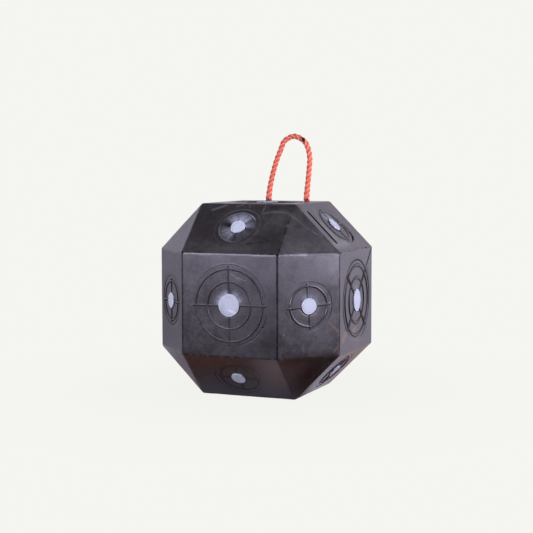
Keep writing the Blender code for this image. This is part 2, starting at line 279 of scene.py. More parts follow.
wayWords = {"front": (0, -1, 0), "back": (0, 1, 0), "left": (-1, 0, 0), "right": (1, 0, 0),
            "top": (0, 0, 1), "bottom": (0, 0, -1)}
for name, face in markedFaces.items():
    looks = tuple(map(sum, zip(*(wayWords[word] for word in name.split("_")))))
    mark = smallMark if "_" in name else largeMark
    markedFaces[name] = {**plainFace, **face, "looks": looks, "mark": mark}


def faceAxes(looks):
    # the face's middle, and its across, up and outward directions; it is as far out as the
    # block's corner at half, halfSide, halfSide reaches along the last of them
    normal = np.array(looks, float)
    normal /= np.linalg.norm(normal)
    upright = np.array((0.0, 0.0, 1.0)) if looks[0] or looks[1] else np.array((0.0, 1.0, 0.0))
    across = np.cross(upright, normal)
    across /= np.linalg.norm(across)
    count = sum(abs(part) for part in looks)
    reach = {1: block["half"],
             2: (block["half"] + block["halfSide"]) / math.sqrt(2),
             3: (block["half"] + 2 * block["halfSide"]) / math.sqrt(3)}[count]
    return np.array(block["middle"]) + normal * reach, across, np.cross(normal, across), normal


def onFace(looks, flat):
    # flat points of a face as solid ones, and its outward direction
    middle, across, up, normal = faceAxes(looks)
    return middle + flat[..., :1] * across + flat[..., 1:] * up, normal


def sideStations(half):
    # places along one side from -half up to half, close together near its ends
    steps = np.array(block["cornerSteps"])
    between = block["sideColumns"] - 2 * len(steps) + 1
    inner = np.linspace(-half + steps[-1], half - steps[-1], between + 2)[1:-1]
    return np.concatenate([-half + steps, inner, (half - steps[1:])[::-1]])


def outlinePoints(corners, inset):
    # a polygon's outline drawn in: each side moves in by the inset, and its half is shorter
    # by the inset over the tangent of half the corner's angle
    count = len(corners)
    turn = math.pi * (1 - 2 / count)
    rows = []
    for side in range(count):
        start, end = corners[side], corners[(side + 1) % count]
        along = (end - start) / np.linalg.norm(end - start)
        inward = np.array((-along[1], along[0]))
        half = np.linalg.norm(end - start) / 2
        drawn = half - inset / math.tan(turn / 2)
        stations = sideStations(half) * drawn / half
        centre = (start + end) / 2 + inward * inset
        rows.append(centre + stations[:, None] * along)
    return np.concatenate(rows)


def markColumns(turn):
    # for each column round a mark: its arm's angle, its offset beside the arm, and its
    # share of the way to the next arm; the list starts at the face's lower right corner
    wide = np.array(block["clusterWide"])
    free = block["sideColumns"] - len(wide)
    before, behind = free - free // 2, free // 2
    offsets = np.tile([np.nan] * before + list(wide) + [np.nan] * behind, 4)
    shares = np.tile(np.concatenate([0.5 + 0.5 * np.arange(before) / before, 0 * wide,
                                     0.5 * np.arange(1, behind + 1) / (behind + 1)]), 4)
    arms = math.pi / 2 * np.arange(4)[:, None] - math.pi / 2 * (np.arange(len(wide) + free) < before)
    arms = arms.ravel() + math.radians(turn)
    middle = np.where(np.isnan(offsets), arms + shares * math.pi / 2, arms)
    away = np.angle(np.exp(1j * (middle + math.pi / 4)))
    first = -int(np.argmin(np.abs(away)))
    return np.roll(arms, first), np.roll(offsets, first), np.roll(shares, first)


def markRows(mark):
    # every row's radius: close together over the ribs and the line round the mark
    wide = np.array(block["clusterWide"])
    rows = list(mark["fill"]) + [mark["witness"] + step for step in witnessRows]
    for ring in mark["rings"]:
        rows += list(ring + wide)
    return np.array(sorted(rows))


def columnAngles(radii, columns):
    # beside an arm: its angle plus the arcsine of offset over radius, which keeps the
    # distance from it; the other columns share what is left of the quarter
    arms, offsets, shares = columns
    widest = max(block["clusterWide"])
    radii = radii[:, None]
    spread = np.arcsin(np.clip(widest / radii, -1, 1))
    beside = arms + np.arcsin(np.clip(np.nan_to_num(offsets) / radii, -1, 1))
    between = arms + spread + shares * (math.pi / 2 - 2 * spread)
    return np.where(np.isnan(offsets), between, beside)


def arcShare(around, arcs, ends):
    # strongest of several arcs, each (middle, half width, strength): its full strength up to
    # the first of the ends, in half widths, and nothing past the second
    share = np.zeros_like(around)
    for middle, wide, strength in arcs:
        off = np.abs((around - middle + 180) % 360 - 180)
        share = np.maximum(share, strength * (1 - shareOf(off, wide * ends[0], wide * ends[1])))
    return share


def shadeBelowShare(rise, above, under):
    # painted shade below ribs and the bullseye: the share above on its upper side, all on its lower
    # side
    return above + (1 - above) * shareOf(-rise, *under)


def ribShares(u, v, around, mark, face):
    # the ribs' share of their height, the higher of the rings' and the arms', then the painted
    # shade along their feet and the painted shade on them
    base, crest = face["slim"] * rib["base"] / 2, face["slim"] * rib["crest"] / 2
    above, under = face["shadeAbove"], rib["under"]
    radius = np.hypot(u, v)
    rise = np.sin(np.radians(around))

    def section(away):
        # 1 over the crest, 0 past the base
        return 1 - shareOf(np.abs(away), crest, base)

    def foot(away):
        # exp(-((distance - base) / the painted shade's width)^2)
        return np.exp(-((np.abs(away) - base) / face["grimeWide"]) ** 2)

    ribs, feet = np.zeros_like(radius), np.zeros_like(radius)
    for ring in mark["rings"]:
        away = radius - ring
        ribs = np.maximum(ribs, section(away))
        feet = np.maximum(feet, foot(away) * shadeBelowShare(np.sign(away) * rise, above, under))
    reach = np.maximum(np.abs(u), np.abs(v))
    beside = np.minimum(np.abs(u), np.abs(v))
    inside = 1 - shareFrom(reach, mark["arm"], rib["armEnd"])
    inside *= shareFrom(radius, mark["bull"], rib["armStart"])
    ribs = np.maximum(ribs, section(beside) * inside)
    turn = math.radians(face["turn"])
    level = np.where(np.abs(v) < np.abs(u), np.sign(v) * math.cos(turn),
                     np.sign(u) * math.sin(turn))
    feet = np.maximum(feet, foot(beside) * inside * shadeBelowShare(level, above, under)) * (1 - ribs)

    # painted shade on the ribs: all of it where they run upright, its lesser share where they run level
    share, lesser = face["ribShade"]
    arm = (beside < base) & (reach > base)
    upright = np.where(arm, np.sin(np.radians(around)), np.cos(np.radians(around))) ** 2
    return ribs, feet, ribs * share * (lesser + (1 - lesser) * upright)


def sprayShare(radius, around, mark, face):
    # overspray: its arcs times exp(-(distance from the bullseye / fade)^1.5), stopped by the
    # inner ring and streaked along its rays; and a painted highlight, a fine line in its colour, on the
    # ring's crest
    spray = arcShare(around, face["haze"], arcEnds)
    out = np.clip(radius - mark["bull"], 0, None)
    spray *= np.exp(-(out / face["fade"]) ** haze["power"])
    spray *= 1 - shareFrom(radius, mark["rings"][0], haze["stop"])
    rays = onCircle(np.radians(around)) * haze["streak"]
    seed = int(1000 * face["turn"]) % haze["seeds"] + haze["seed"]
    spray *= haze["mean"] + haze["swing"] * ripple(rays, seed, 1.0)
    crestHighlight = np.exp(-((radius - mark["rings"][0]) / rib["crest"] * rib["crestNarrow"]) ** 2)
    return np.maximum(spray, arcShare(around, face["crest"], arcEnds) * crestHighlight)


def reliefOf(flat, mark, face, solid):
    # height of the moulding over its face: the ribs, less the insert's depth, less the grooves
    # along the witness line and round the bullseye; and the masks: painted shade in the grooves,
    # below the bullseye and at and on the ribs, overspray, and a painted highlight on the line's rim
    turn = math.radians(face["turn"])
    u = flat[..., 0] * math.cos(turn) + flat[..., 1] * math.sin(turn)
    v = flat[..., 1] * math.cos(turn) - flat[..., 0] * math.sin(turn)
    radius = np.hypot(u, v)
    around = np.degrees(np.arctan2(flat[..., 1], flat[..., 0]))
    ribs, feet, ribShade = ribShares(u, v, around, mark, face)
    mean, swing, seed, wave = rib["wear"]
    worn = face["worn"] * (mean + swing * ripple(solid, seed, wave))
    height = ribs * rib["height"] * face["slim"] * worn

    witness, step = mark["witness"], slit["step"]
    mean, swing, deepest = face["depth"]
    swing = swing * np.cos(np.radians(around - deepest)) * radius / witness
    sunk = (mean + swing) * milli * (1 - shareOf(radius, witness - step, witness + step))
    line = np.exp(-((radius - witness) / face["line"]) ** 2)
    dark = (slit["least"] + slit["most"] * arcShare(around, face["arcs"], slit["ends"])) * line
    # painted highlight along the line's rim, which also stands a little proud
    rim = arcShare(around, face["rim"], arcEnds) * line
    disc = np.array(face["disc"]) * milli
    discEdge = mark["bull"] * face["narrow"][0]
    fromDisc = np.hypot(flat[..., 0] - disc[0], flat[..., 1] - disc[1]) - discEdge
    gap = np.exp(-((fromDisc - moat["out"]) / moat["wide"]) ** 2)
    gap *= shadeBelowShare(np.sin(np.radians(around)), moat["above"], moat["under"])
    height -= np.clip(sunk, 0, None) + dark * face["slitDeep"]
    height -= gap * moat["deep"] - rim * slit["rimDeep"]
    # painted shade: the line's dark arcs, the groove below the bullseye, and the ribs' feet and sides
    dark = np.maximum(np.maximum(dark, gap), np.maximum(feet * face["grime"], ribShade))
    return height, dark, np.clip(sprayShare(radius, around, mark, face), 0, 1), rim


def markedPatch(face):
    # grid over one marked face: polar rows out to the witness line, then rows that turn
    # from the circle into the face's outline
    looks, mark = face["looks"], face["mark"]
    square = mark is largeMark
    wideHalf, narrowHalf = block["halfSide"], (block["half"] - block["halfSide"]) / math.sqrt(2)
    halfU = wideHalf if square or looks[2] else narrowHalf
    halfV = wideHalf if square or not looks[2] else narrowHalf
    corners = np.array(((halfU, -halfV), (halfU, halfV), (-halfU, halfV), (-halfU, -halfV)))
    shift = np.array(face["shift"]) * milli
    radii = markRows(mark)
    angles = columnAngles(radii, markColumns(face["turn"]))
    polar = face["size"] * radii[:, None, None] * onCircle(angles)[..., :2]
    outer = [outlinePoints(corners, inset) for inset in sorted(block["insets"], reverse=True)]
    steps = mark["joinSteps"]
    between = [polar[-1] + shift + (outer[0] - polar[-1] - shift) * step / steps
               for step in range(1, steps)]
    flat = np.concatenate([polar + shift, np.array(between), np.array(outer)])
    solid, normal = onFace(looks, flat)
    return (solid, *reliefOf((flat - shift) / face["size"], mark, face, solid), normal)


def cornerPatch(looks):
    # grid over one blank corner: rings of the triangle's outline down to its middle
    side = (block["half"] - block["halfSide"]) * math.sqrt(2)
    reach = side / math.sqrt(3)
    tip = 1 if looks[2] > 0 else -1
    angles = np.radians(tip * 90 + np.array((-120, 0, 120)))
    corners = reach * onCircle(angles)[:, :2]
    smallest = reach / 2 * block["cornerSmallest"]
    insets = list(np.linspace(smallest, block["cornerLargest"], block["cornerRings"]))
    insets += sorted(block["insets"], reverse=True)
    flat = np.array([outlinePoints(corners, inset) for inset in insets])
    solid, normal = onFace(looks, flat)
    empty = np.zeros(flat.shape[:2])
    return solid, empty, empty, empty, empty, normal


def roundedEdges(points):
    # every point moves in along the slope of F until F is 0, where F is the root of the
    # summed squares of its depths past planes drawn in by the edge radius, less the radius
    looks = [(x, y, z) for x in (-1, 0, 1) for y in (-1, 0, 1) for z in (-1, 0, 1)
             if (x, y, z) != (0, 0, 0)]
    axes = [faceAxes(look) for look in looks]
    normals = np.array([normal for _, _, _, normal in axes])
    reach = np.array([(middle - block["middle"]) @ normal for middle, _, _, normal in axes])
    wave = sum(ripple(points, seed, length) * share for seed, length, share in block["edgeWaves"])
    radius = block["edgeRound"] * (1 + wave[:, None])
    for place, wide, extra in block["worn"]:
        away = np.linalg.norm(points - place, axis=1)[:, None]
        radius = radius + extra * np.exp(-(away / wide) ** 2)
    local = points - block["middle"]
    for _ in range(block["settleSteps"]):
        past = np.clip(local @ normals.T - (reach - radius), 0, None)
        size = np.linalg.norm(past, axis=1, keepdims=True)
        slope = (past / np.maximum(size, tiny)) @ normals
        steep = np.maximum((slope ** 2).sum(1, keepdims=True), block["leastSteep"])
        local = local - (size - radius) * slope / steep
    return local + block["middle"]


seams = {
    "depth": 0.0009, "width": 0.00105, "fade": (-0.002, 0.001),
    # by side and depth: strength at the front's or back's edge, and at the side's
    "strengths": {(1, -1): (0.9, 0.8), (-1, -1): (1.0, 0.6),
                  (1, 1): (0.7, 0.6), (-1, 1): (0.7, 0.5)},
}


def seamMask(points):
    # nearness to the upright mould seams along the belt's eight upright edges: the largest
    # of strength times exp(-(distance / width)^2), and nothing above or below the belt
    local = points - block["middle"]
    edges = ((block["halfSide"], block["half"]), (block["half"], block["halfSide"]))
    near = np.zeros(len(points))
    for (right, back), strengths in seams["strengths"].items():
        for (x, y), strength in zip(edges, strengths):
            away = np.hypot(local[:, 0] - right * x, local[:, 1] - back * y)
            near = np.maximum(near, strength * np.exp(-(away / seams["width"]) ** 2))
    return near * (1 - shareFrom(np.abs(local[:, 2]), block["halfSide"], seams["fade"]))


def makeSkin():
    # every face's grid with its edges rounded, raised along its normal by the relief,
    # pressed level inwards along the seams, and welded to the others
    patches = [markedPatch(face) for face in markedFaces.values()]
    patches += [cornerPatch((x, y, z)) for x in (-1, 1) for y in (-1, 1) for z in (-1, 1)]
    insets = np.array(sorted(block["insets"], reverse=True))
    allPoints, allQuads, caps, masks = [], [], [], []
    start = 0
    for solid, height, dark, spray, rim, normal in patches:
        rows, columns = height.shape
        allPoints.append(roundedEdges(solid.reshape(-1, 3)) + height.reshape(-1, 1) * normal)
        allQuads.append(gridFaces(rows, columns) + start)
        caps.append(range(start, start + columns))
        edge = np.zeros((rows, columns))
        edge[-len(insets):] = np.exp(-(insets / block["edgeFade"]) ** 2)[:, None]
        masks.append(np.stack([dark.ravel(), spray.ravel(), edge.ravel(), rim.ravel()], -1))
        start += rows * columns
    points = np.concatenate(allPoints)
    masks = np.concatenate(masks)
    seam = seamMask(points)
    outward = points - block["middle"]
    outward[:, 2] = 0
    outward /= np.linalg.norm(outward, axis=1, keepdims=True) + tiny
    points = points - outward * (seam * seams["depth"])[:, None]
    skin = makePiece("skin", points, np.concatenate(allQuads), caps)
    # the seam grooves are real; their darkness, added here to the marks, is painted shade
    masks[:, 0] = np.maximum(masks[:, 0], seam)
    paint(skin, "marks", masks)
    weld = bmesh.new()
    weld.from_mesh(skin.data)
    bmesh.ops.remove_doubles(weld, verts=weld.verts, dist=block["weldGap"])
    weld.to_mesh(skin.data)
    weld.free()
    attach(skin, "block")
    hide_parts("outer_skin")
    print("skin:", len(skin.data.polygons), "faces")
    return skin


# Bullseyes

def makeBullseye(name, face, seed):
    # turned section: up a rounded rim to a flat top with one faint inner line; its radius
    # is uneven by two noises of the angle, which grow towards the rim
    radius, top, edge = face["mark"]["bull"], face["lift"], bullseye["edge"]
    lip = np.radians(bullseye["lipDegrees"])
    section = [(radius, bullseye["foot"])]
    section += [(radius - edge + edge * math.cos(a), top - edge + edge * math.sin(a)) for a in lip]
    section += [(radius - back, top - share * bullseye["lineDeep"])
                for back, share in bullseye["line"]]
    section += [(radius * share, top) for share in bullseye["flat"]]
    section = np.array(section)[::-1]
    ring = onCircle(fullTurn(bullseye["columns"]))
    wobble = bullseye["wobble"] * ripple(ring, seed, bullseye["wobbleWave"])
    wobble += face["chip"] * ripple(ring, seed + bullseye["chipSeed"], bullseye["chipWave"])
    grown = shareOf(section[:, :1], radius * bullseye["wobbleFrom"], radius)
    reach = section[:, :1] + wobble[None, :] * grown
    shift = (np.array(face["shift"]) + np.array(face["disc"])) * milli
    flat = reach[..., None] * ring[None, :, :2] * face["narrow"] + shift
    solid, normal = onFace(face["looks"], flat)
    solid += section[:, 1, None, None] * normal
    rows, columns = solid.shape[:2]
    caps = (range(columns), range(rows * columns - 1, (rows - 1) * columns - 1, -1))
    disc = makePiece("bull_" + name, solid.reshape(-1, 3), gridFaces(rows, columns), caps)
    # the face's coat brightness: painted light and shade
    paint(disc, "coatPaintedLight", np.full((rows * columns, 3), face["coat"]))
    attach(disc, "block")
    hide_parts("bullseye_" + name)
    return disc


# Rope

rope = {
    "radius": 0.00475, "strand": 0.0034, "centre": 0.0023, "lay": 0.0325, "columns": 60,
    "ringStep": 0.0010, "curveSteps": 24, "feet": (-0.0336, 0.0508), "y": 0.090,
    "surface": 0.382, "pivot": 0.39305, "rise": 0.12245, "below": 0.372, "start": 0.4,
    # shares of the way between the feet and of the rise
    "route": ((0.000, 0.000), (0.062, 0.250), (0.189, 0.560), (0.312, 0.768), (0.423, 0.926),
              (0.670, 1.000), (0.905, 0.932), (1.020, 0.824), (1.080, 0.630), (1.058, 0.406),
              (1.017, 0.130), (1.000, 0.000)),
    "bend": (0.383, 0.403), "swell": 0.14, "swollen": (0.385, 0.425),
    # where the fibres are in their texture: stretch across, and shifts from strand to strand
    "fibreAcross": 1.2, "strandShift": (0.0137, 0.0311),
    "ink": {"x": 0.0446, "z": 0.5088, "along": (0.35, -0.45, -0.82),
            "half": 0.0078, "halfEnds": (0.8, 1.1), "wide": 0.0029, "wideEnds": (0.7, 1.5)},
}


def runOf(line):
    # length along the line up to each of its points
    return np.concatenate([[0], np.cumsum(np.linalg.norm(np.diff(line, axis=0), axis=1))])


def evenly(points, step):
    # the same line cut into equal steps by its running length
    length = runOf(points)
    count = max(2, int(round(length[-1] / step)) + 1)
    even = np.linspace(0, length[-1], count)
    return np.stack([np.interp(even, length, points[:, axis]) for axis in range(3)], -1)


def ropeLine():
    # smooth curve through the route's points (Catmull-Rom: half of 2b + (c - a)t +
    # (2a - 5b + 4c - d)t^2 + (3b - a - 3c + d)t^3), with a straight foot each end
    left, right = rope["feet"]
    route = [(left, rope["y"], rope["below"]), (left, rope["y"], rope["surface"])]
    route += [(left + across * (right - left), rope["y"], rope["pivot"] + up * rope["rise"])
              for across, up in rope["route"]]
    route += [(right, rope["y"], rope["surface"]), (right, rope["y"], rope["below"])]
    points = np.array(route)
    points = np.vstack([2 * points[0] - points[1], points, 2 * points[-1] - points[-2]])
    share = np.linspace(0, 1, rope["curveSteps"], endpoint=False)[None, :, None]
    a, b, c, d = (points[place:len(points) - 3 + place][:, None] for place in range(4))
    curve = 0.5 * (2 * b + (c - a) * share + (2 * a - 5 * b + 4 * c - d) * share ** 2
                   + (3 * b - a - 3 * c + d) * share ** 3)
    return np.vstack([curve.reshape(-1, 3), points[-2]])


def twistedRope(name, line, start=0.0, girth=None):
    # three strands as one closed skin: the radius at each angle is the far side of the
    # nearest strand's circle, and the strands turn steadily with the running length
    tangent = np.gradient(line, axis=0)
    tangent /= np.linalg.norm(tangent, axis=1, keepdims=True)
    second = np.tile((0.0, 1.0, 0.0), (len(line), 1))
    first = np.cross(second, tangent)
    run = runOf(line)
    angle = fullTurn(rope["columns"])[None, :]
    lead = angle - 2 * np.pi * (run[:, None] / rope["lay"] + start)
    third = 2 * np.pi / 3
    off = (lead + third / 2) % third - third / 2
    number = np.floor((lead + third / 2) / third)
    strand, centre = rope["strand"], rope["centre"]
    reach = centre * np.cos(off) + np.sqrt(strand ** 2 - (centre * np.sin(off)) ** 2)
    reach = reach * (1 if girth is None else girth[:, None])
    points = line[:, None] + reach[..., None] * (
        np.cos(angle)[..., None] * first[:, None] + np.sin(angle)[..., None] * second[:, None])
    rows, columns = points.shape[:2]
    quads = gridFaces(rows, columns)[:, ::-1]
    piece = makePiece(name, points.reshape(-1, 3), quads, tubeCaps(rows, columns))
    across = off * strand * rope["fibreAcross"]
    shiftAcross, shiftDeep = rope["strandShift"]
    along = np.broadcast_to(run[:, None], (rows, columns))
    space = np.stack([across + number * shiftAcross, along, number * shiftDeep], -1)
    layer = piece.data.attributes.new("ropeSpace", "FLOAT_VECTOR", "POINT")
    layer.data.foreach_set("vector", space.astype(np.float32).ravel())
    crown = 1 - np.abs(off) / (third / 2)
    side = 0.5 + off / third
    return piece, points.reshape(-1, 3), np.stack([crown.ravel(), side.ravel()], -1)


def inkMask(points):
    # short dark dash along a strand at the loop's top: 1 within its half length and half
    # width, measured along and across its direction
    ink = rope["ink"]
    along = np.array(ink["along"])
    along /= np.linalg.norm(along)
    away = points - np.array((ink["x"], rope["y"] - rope["radius"], ink["z"]))
    run = away @ along
    side = np.linalg.norm(away - run[:, None] * along, axis=1)
    lengthwise = 1 - shareOf(np.abs(run), *(ink["half"] * end for end in ink["halfEnds"]))
    return lengthwise * (1 - shareOf(side, *(ink["wide"] * end for end in ink["wideEnds"])))


def makeRope():
    # the loop, thicker near its feet, blended from the block to the handle where it bends
    line = evenly(ropeLine(), rope["ringStep"])
    girth = 1 + rope["swell"] * (1 - shareOf(line[:, 2], *rope["swollen"]))
    loop, points, crown = twistedRope("ropeStrands", line, rope["start"], girth)
    paint(loop, "ropeMarks", np.column_stack([crown, inkMask(points)]))
    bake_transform(loop)
    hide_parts("rope_loop")
    return loop


knot = {
    "top": 0.322, "wraps": 4, "pitch": 0.0095, "girth": 2.9, "tail": 0.014, "step": 0.0012,
    "lap": 0.001, "wrapMean": 0.94, "wrapSwing": 0.06,
    "softBottom": (-0.001, 0.003), "softTop": (-0.003, 0.001),
}


def makeLeg(side, x):
    # buried rope end, straight down with a knot, where the girth is a mean plus a cosine of
    # the height with one turn to a wrap
    bottom = knot["top"] - knot["wraps"] * knot["pitch"]
    heights = np.arange(rope["below"] + knot["lap"], bottom - knot["tail"], -knot["step"])
    line = np.stack([np.full_like(heights, x), np.full_like(heights, rope["y"]), heights], -1)
    inside = shareFrom(heights, bottom, knot["softBottom"])
    inside = inside * (1 - shareFrom(heights, knot["top"], knot["softTop"]))
    turns = 2 * np.pi * (heights - bottom) / knot["pitch"]
    wave = knot["wrapMean"] + knot["wrapSwing"] * np.cos(turns + np.pi)
    girth = 1 + inside * (knot["girth"] * wave - 1)
    leg, _, crown = twistedRope("ropeEnd_" + side, line, 0.0, girth)
    paint(leg, "ropeMarks", np.column_stack([crown, 0 * crown[:, 0]]))
    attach(leg, "block")
    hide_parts("rope_leg_" + side)
    return leg


dab = {
    # where each foot's dab of foam sits beside the rope, how far it spreads, and its seed
    "left": ((0.0004, -0.0056), (0.0050, 0.0046, 0.0070), 74),
    "right": ((0.0024, -0.0060), (0.0044, 0.0040, 0.0064), 75),
    "rows": 16, "columns": 32, "sink": 0.0012, "lowest": -0.35, "open": 0.06,
    "lump": (0.16, 1.6), "dent": (0.06, 0.6), "dentSeed": 80,
}


def makeDab(side, x):
    # lumpy half ball: sphere points times 1 plus two seeded noises, times the spread
    (across, back), spread, seed = dab[side]
    rows, columns = dab["rows"], dab["columns"]
    lift = np.linspace(dab["lowest"], np.pi / 2 - dab["open"], rows)[:, None]
    angle = fullTurn(columns)[None, :]
    ball = np.stack([np.cos(lift) * np.cos(angle), np.cos(lift) * np.sin(angle),
                     np.sin(lift) + 0 * angle], -1)
    (lump, lumpWave), (dent, dentWave) = dab["lump"], dab["dent"]
    swell = 1 + lump * ripple(ball, seed, lumpWave) + dent * ripple(ball, dab["dentSeed"], dentWave)
    points = ball * swell[..., None] * spread
    points += (x + across, rope["y"] + back, rope["surface"] - dab["sink"])
    quads = gridFaces(rows, columns)[:, ::-1]
    piece = makePiece("ropeDab_" + side, points.reshape(-1, 3), quads, tubeCaps(rows, columns))
    paint(piece, "marks", np.zeros((rows * columns, 4)))
    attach(piece, "block")
    return piece


# Materials

class Value:
    # a node's output in a formula, where | takes the larger of two
    def __init__(self, socket):
        self.socket = socket
        self.tree = socket.id_data

    def __add__(self, other):
        return combine("ADD", self, other)

    def __sub__(self, other):
        return combine("SUBTRACT", self, other)

    def __rsub__(self, other):
        return combine("SUBTRACT", other, self)

    def __mul__(self, other):
        return combine("MULTIPLY", self, other)

    def __or__(self, other):
        return combine("MAXIMUM", self, other)


def startMaterial(name):
    # an empty material, its node tree and its shader
    made = bpy.data.materials.new(name)
    made.use_nodes = True
    return made, made.node_tree, made.node_tree.nodes["Principled BSDF"]


def setInputs(node, **inputs):
    # each input takes a number, a colour or a Value; n0, n1 and so on go by number
    for key, value in inputs.items():
        socket = node.inputs[int(key[1:]) if key[1:].isdigit() else key.replace("_", " ")]
        if isinstance(value, Value):
            node.id_data.links.new(value.socket, socket)
        else:
            socket.default_value = value


def addNode(tree, kind, out=0, settings=None, **inputs):
    # a new shader node's output, or one for each name where out has several
    node = tree.nodes.new("ShaderNode" + kind)
    for key, value in (settings or {}).items():
        setattr(node, key, value)
    setInputs(node, **inputs)
    if isinstance(out, tuple):
        return [Value(node.outputs[name]) for name in out]
    return Value(node.outputs[out])


def attribute(tree, name, out="Color"):
    # what paint or the rope's surface stored under this name
    return addNode(tree, "Attribute", out, {"attribute_name": name})


def channels(colour):
    # a colour's red, green and blue
    return addNode(colour.tree, "SeparateColor", (0, 1, 2), n0=colour)


def noise(place, scale, detail, rough):
    # cloudy noise about 0.5
    return addNode(place.tree, "TexNoise", "Fac", Vector=place, Scale=scale, Detail=detail,
                   Roughness=rough)


def cells(place, scale):
    # distance from the nearest of many scattered points, and that point's random colour
    return addNode(place.tree, "TexVoronoi", ("Distance", "Color"), Vector=place, Scale=scale)


def fromTo(value, low, high, out=(0.0, 1.0)):
    # smooth step from out's first number at low to its second at high
    return addNode(value.tree, "MapRange", 0, {"interpolation_type": "SMOOTHSTEP"}, n0=value,
                   n1=low, n2=high, n3=out[0], n4=out[1])


def combine(how, first, second):
    # the two joined by this operation
    tree = (first if isinstance(first, Value) else second).tree
    return addNode(tree, "Math", 0, {"operation": how}, n0=first, n1=second)


def vectorMath(tree, how, out=0, **inputs):
    # a vector calculation's result: output 0 is a vector, 1 a number
    return addNode(tree, "VectorMath", out, {"operation": how}, **inputs)


def blend(share, first, second, how="MIX"):
    # first times 1 - share, plus second times the share
    tree = next(value.tree for value in (share, first) if isinstance(value, Value))
    return addNode(tree, "Mix", 2, {"data_type": "RGBA", "blend_type": how}, n0=share, n6=first,
                   n7=second)


def addBump(shader, height, strength, distance):
    # fine relief for the light: the normal tilts by the height's slope times the distance
    setInputs(shader, Normal=addNode(height.tree, "Bump", Strength=strength, Distance=distance,
                                     Height=height))


foam = {
    "dark": (0.012, 0.0098, 0.0105, 1), "light": (0.024, 0.0205, 0.0220, 1),
    "crevice": (0.004, 0.0035, 0.004, 1), "rubAndHighlight": (0.110, 0.105, 0.120, 1),
    "spray": (0.44, 0.46, 0.63, 1), "rust": (0.22, 0.095, 0.048, 1),
    "darkBrown": (0.014, 0.0078, 0.0062, 1), "vein": (0.095, 0.084, 0.080, 1),
    "dustAndPaintedLight": (0.22, 0.21, 0.23, 1), "brown": (0.032, 0.026, 0.023, 1),
    "tint": (0.87, 0.825, 1.0, 1), "pitScale": 210.0, "speckScale": 330.0,
    # noises: scale, detail, roughness
    "noises": {"cloud": (11.0, 4.0, 0.6), "mottle": (95.0, 3.0, 0.6), "grain": (620.0, 2.0, 0.6),
               "brown": (17.0, 5.0, 0.7), "sparse": (33.0, 1.0, 0.5), "ragged": (260.0, 3.0, 0.7),
               "patch": (300.0, 2.0, 0.6)},
    # smooth steps: from, to, and the numbers there where they aren't 0 and 1
    "steps": {"tone": (0.38, 0.62), "brown": (0.46, 0.66, (0.0, 0.5)), "sparse": (0.60, 0.68),
              "pit": (0.16, 0.05), "speck": (0.22, 0.10), "chance": (0.940, 0.950),
              "rubbed": (0.50, 0.66), "ragged": (0.34, 0.60, (0.7, 1.0)),
              "paintedLight": (0.35, 0.65, (0.02, 0.12)), "rust": (0.36, 0.64, (0.20, 0.50)),
              "rough": (0.3, 0.7, (0.27, 0.40)), "shine": (0.0, 1.0, (0.90, 0.08)),
              "patch": (0.35, 0.65, (0.84, 1.16)), "shadeIor": (0.0, 1.0, (1.5, 1.06))},
    # shares of what is mixed in
    "cloud": 0.55, "mottle": 0.45, "speck": 0.55, "rubbed": 0.5, "paintedHighlight": 0.8, "pit": 0.7,
    "sprayRough": 0.25, "patch": 0.5, "wander": 0.005,
    # shares of the shine that are left
    "dullShine": 0.45, "darkBrownShine": 0.65, "edgeShine": 0.62,
    "grainBump": 0.35, "pitBump": 2.0, "mottleBump": 0.5, "bump": (0.35, 0.0006),
}

# Each kind of stroke: its share of the wander, softness, strength and colour. The wide lighter
# strokes are painted light, the darker, duller ones mostly painted shade, the dark brown ones
# painted shade with a painted brown reflection on the lower faces, and two wide smears painted
# light. Cuts have no colour of their own: they are darkened with painted shade and sunk with the pits.
strokeKinds = {
    "vein": (1.0, 0.9, 0.7, "vein"), "scratch": (0.3, 0.5, 0.42, "dustAndPaintedLight"),
    "smear": (1.0, 1.0, 0.30, "dustAndPaintedLight"), "darkPatch": (1.0, 0.9, 0.4, "crevice"),
    "darkBrown": (1.0, 0.9, 0.8, "darkBrown"), "paintedLight": (1.0, 0.9, 1.0, "dustAndPaintedLight"),
    "rust": (1.0, 0.8, 1.0, "rust"), "cut": (0.4, 0.5, 0.0, None),
}

